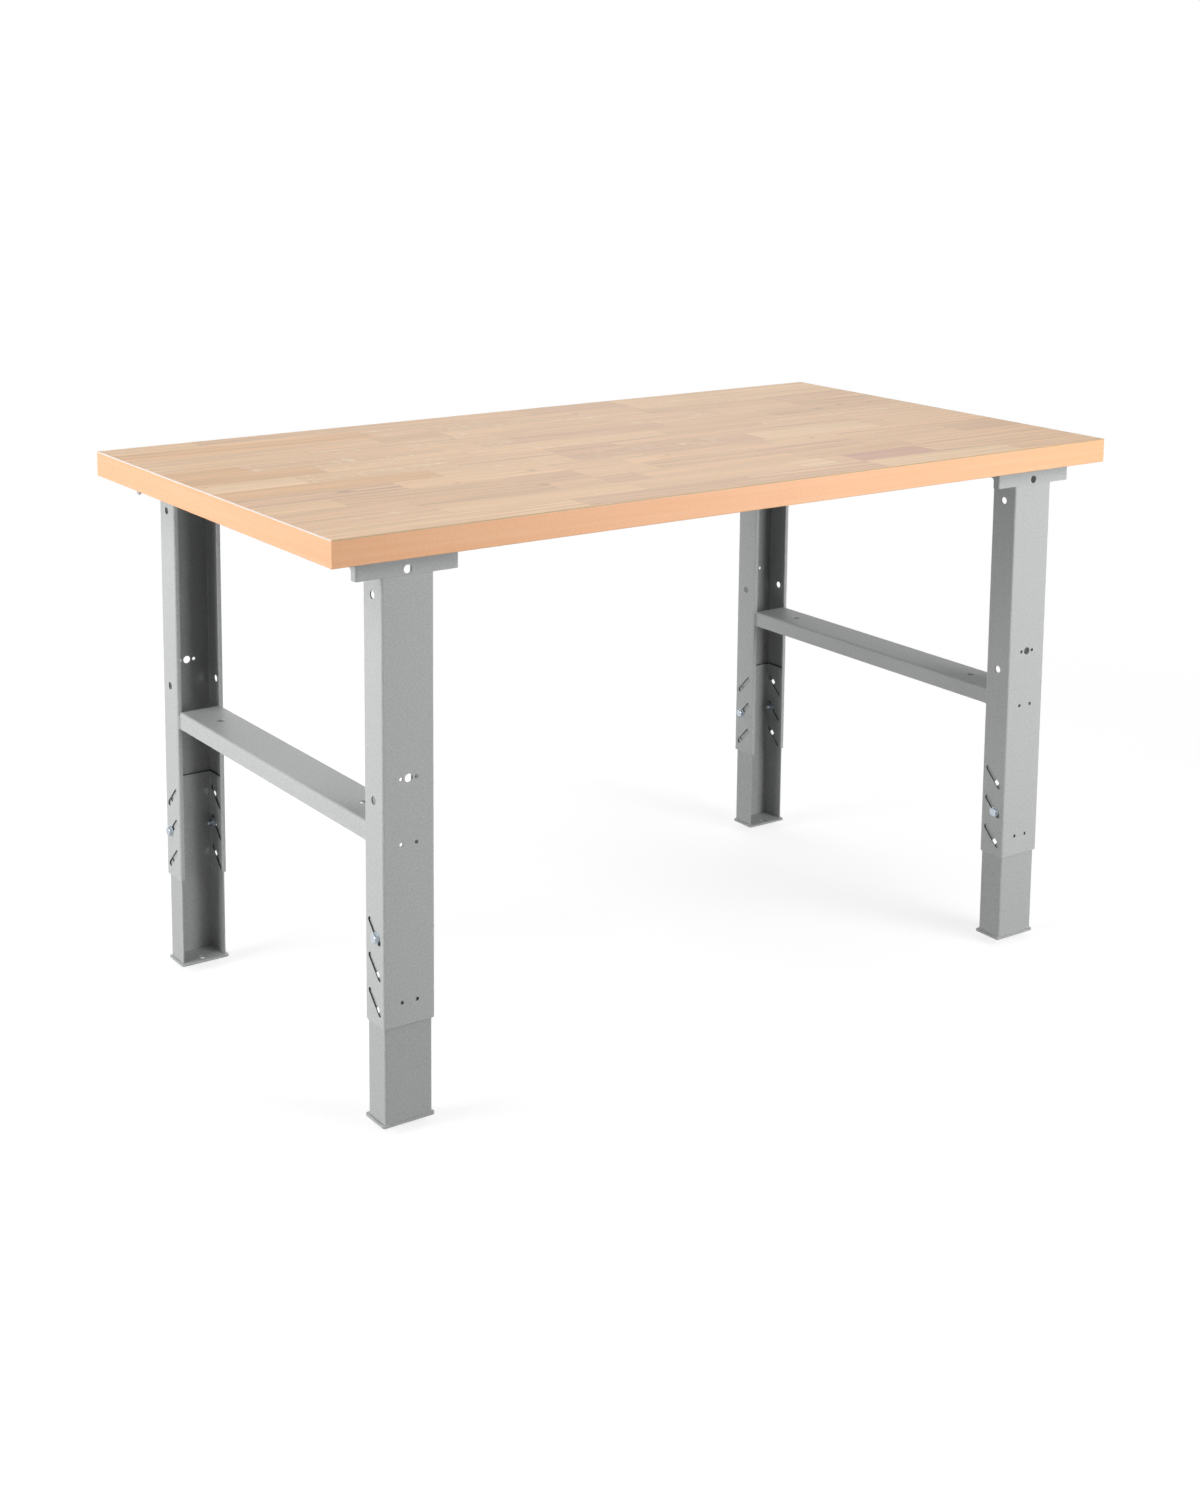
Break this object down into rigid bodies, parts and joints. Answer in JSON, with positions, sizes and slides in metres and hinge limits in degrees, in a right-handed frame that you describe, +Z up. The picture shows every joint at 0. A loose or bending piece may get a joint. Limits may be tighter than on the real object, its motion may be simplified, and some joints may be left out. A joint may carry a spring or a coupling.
{
  "type": "workbench",
  "caption": "Height-adjustable workbench: a banded wooden board on welded steel side frames, with telescopic channel legs clamped by bolts in crossing slanted slots.",
  "frame": {"origin": "on the floor under the middle of the board", "axes": "+X along the bench to the right of someone who stands in front of it, +Y to the rear, +Z up"},
  "size_m": [1.5, 0.8, 0.877],
  "materials": {
    "board_face": "thin strip-parquet layer of beech-like staves, matt lacquer",
    "board_core": "pressed wood core, hidden between the layers",
    "board_backing": "thin dark grey balancing layer",
    "edge_band": "solid beech band, fine flecks, matt lacquer",
    "grey_paint": "light grey powder coat with a fine pebbled skin",
    "zinc_steel": "bluish zinc-plated steel"
  },
  "bodies": {
    "bench": {"tabletop_backing": "board_backing", "tabletop_core": "board_core", "tabletop_face": "board_face", "edge_band_front": "edge_band", "edge_band_rear": "edge_band", "edge_band_left": "edge_band", "edge_band_right": "edge_band", "outer_leg_front_left": "grey_paint", "top_bracket_front_left": "grey_paint", "bracket_screws_front_left": "zinc_steel", "outer_leg_front_right": "grey_paint", "top_bracket_front_right": "grey_paint", "bracket_screws_front_right": "zinc_steel", "outer_leg_rear_left": "grey_paint", "top_bracket_rear_left": "grey_paint", "bracket_screws_rear_left": "zinc_steel", "outer_leg_rear_right": "grey_paint", "top_bracket_rear_right": "grey_paint", "bracket_screws_rear_right": "zinc_steel", "crossbar_left": "grey_paint", "crossbar_welds_left": "grey_paint", "crossbar_right": "grey_paint", "crossbar_welds_right": "grey_paint"},
    "leg_front_left": {"inner_leg_front_left": "grey_paint", "foot_plate_front_left": "grey_paint"},
    "clamp_front_left": {"clamp_bolts_front_left": "zinc_steel", "clamp_washers_front_left": "zinc_steel", "clamp_nuts_front_left": "zinc_steel"},
    "leg_front_right": {"inner_leg_front_right": "grey_paint", "foot_plate_front_right": "grey_paint"},
    "clamp_front_right": {"clamp_bolts_front_right": "zinc_steel", "clamp_washers_front_right": "zinc_steel", "clamp_nuts_front_right": "zinc_steel"},
    "leg_rear_left": {"inner_leg_rear_left": "grey_paint", "foot_plate_rear_left": "grey_paint"},
    "clamp_rear_left": {"clamp_bolts_rear_left": "zinc_steel", "clamp_washers_rear_left": "zinc_steel", "clamp_nuts_rear_left": "zinc_steel"},
    "leg_rear_right": {"inner_leg_rear_right": "grey_paint", "foot_plate_rear_right": "grey_paint"},
    "clamp_rear_right": {"clamp_bolts_rear_right": "zinc_steel", "clamp_washers_rear_right": "zinc_steel", "clamp_nuts_rear_right": "zinc_steel"}
  },
  "joints": [
    {"name": "leg_height_front_left", "type": "slide", "parent": "bench", "child": "leg_front_left", "axis": [0, 0, -1], "range_m": [-0.0405, 0.0125]},
    {"name": "clamp_travel_front_left", "type": "slide", "parent": "bench", "child": "clamp_front_left", "axis": [0, -0.7071, -0.7071], "range_m": [-0.0287, 0.0089]},
    {"name": "leg_height_front_right", "type": "slide", "parent": "bench", "child": "leg_front_right", "axis": [0, 0, -1], "range_m": [-0.0405, 0.0125]},
    {"name": "clamp_travel_front_right", "type": "slide", "parent": "bench", "child": "clamp_front_right", "axis": [0, -0.7071, -0.7071], "range_m": [-0.0287, 0.0089]},
    {"name": "leg_height_rear_left", "type": "slide", "parent": "bench", "child": "leg_rear_left", "axis": [0, 0, -1], "range_m": [-0.0405, 0.0125]},
    {"name": "clamp_travel_rear_left", "type": "slide", "parent": "bench", "child": "clamp_rear_left", "axis": [0, 0.7071, -0.7071], "range_m": [-0.0287, 0.0089]},
    {"name": "leg_height_rear_right", "type": "slide", "parent": "bench", "child": "leg_rear_right", "axis": [0, 0, -1], "range_m": [-0.0405, 0.0125]},
    {"name": "clamp_travel_rear_right", "type": "slide", "parent": "bench", "child": "clamp_rear_right", "axis": [0, 0.7071, -0.7071], "range_m": [-0.0287, 0.0089]}
  ],
  "couplings": [
    {"joint": "clamp_travel_front_left", "follows": "leg_height_front_left", "ratio": 0.70711},
    {"joint": "clamp_travel_front_right", "follows": "leg_height_front_right", "ratio": 0.70711},
    {"joint": "clamp_travel_rear_left", "follows": "leg_height_rear_left", "ratio": 0.70711},
    {"joint": "clamp_travel_rear_right", "follows": "leg_height_rear_right", "ratio": 0.70711}
  ]
}
